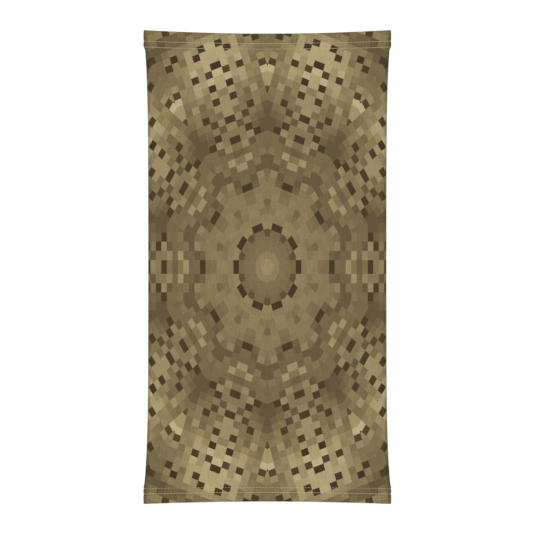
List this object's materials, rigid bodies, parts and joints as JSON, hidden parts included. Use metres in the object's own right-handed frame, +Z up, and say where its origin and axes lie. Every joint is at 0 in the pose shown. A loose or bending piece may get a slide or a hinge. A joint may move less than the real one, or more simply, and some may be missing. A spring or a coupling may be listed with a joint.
{
  "type": "neck gaiter",
  "caption": "Stretch knit tube for the neck and lower face, open at both mouths, hemmed at each and seamed down the back.",
  "frame": {"origin": "on the surface it lies on, under the middle of the flat tube", "axes": "+X across the flat tube, +Y along it towards the top mouth, +Z up through the front"},
  "size_m": [0.2456, 0.47, 0.0125],
  "materials": {
    "printed_jersey": "matt printed polyester and elastane jersey, about 210 g/m2, olive and sand pixel print on the outside",
    "jersey_inside": "unprinted inside of the jersey, off-white, matt",
    "needle_thread": "polyester sewing thread, sand, slight sheen",
    "looper_thread": "textured polyester looper thread, sand, matt"
  },
  "bodies": {
    "root": {"knit_panel": "printed_jersey", "top_hem_turning": "printed_jersey", "top_hem_looper_thread": "looper_thread", "top_hem_needle_thread_mouth_side": "needle_thread", "top_hem_needle_thread_body_side": "needle_thread", "bottom_hem_turning": "printed_jersey", "bottom_hem_looper_thread": "looper_thread", "bottom_hem_needle_thread_mouth_side": "needle_thread", "bottom_hem_needle_thread_body_side": "needle_thread", "seam_allowance_right_edge": "jersey_inside", "seam_allowance_left_edge": "jersey_inside", "seam_upper_looper_thread": "looper_thread", "seam_lower_looper_thread": "looper_thread", "seam_needle_thread_inner": "needle_thread", "seam_needle_thread_outer": "needle_thread"}
  },
  "joints": []
}
